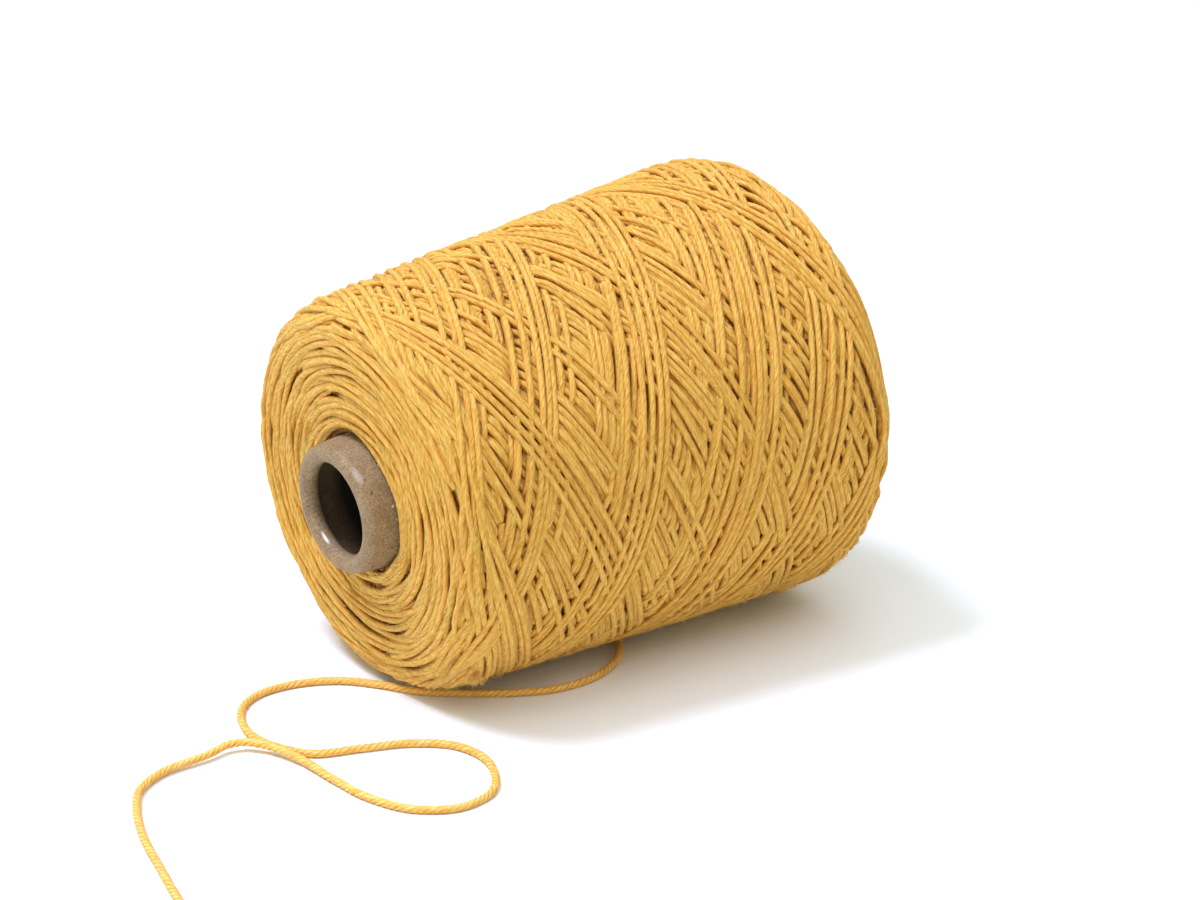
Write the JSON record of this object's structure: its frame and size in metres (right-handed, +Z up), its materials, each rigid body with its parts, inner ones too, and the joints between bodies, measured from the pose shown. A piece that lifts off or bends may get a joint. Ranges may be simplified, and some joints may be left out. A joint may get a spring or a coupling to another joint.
{
  "type": "cone of yarn",
  "caption": "Mustard-yellow yarn cross-wound on a tapered paper cone, lying on its side, with a loose end curling on the surface.",
  "frame": {"origin": "on the surface that the package lies on, under the middle of the box of the paper cone and the wound yarn", "axes": "+X from the narrow nose to the wide base of the package, +Z up, the loose end lies towards -X and -Y"},
  "size_m": [0.2773, 0.1879, 0.137],
  "materials": {
    "paper": "brown pressed paper, lightly polished, flecked",
    "yarn": "matt plied yarn with a soft fuzz",
    "strand": "matt plied yarn, one strand"
  },
  "bodies": {
    "root": {"paper_cone": "paper", "wound_yarn": "yarn", "loose_end": "strand"}
  },
  "joints": []
}
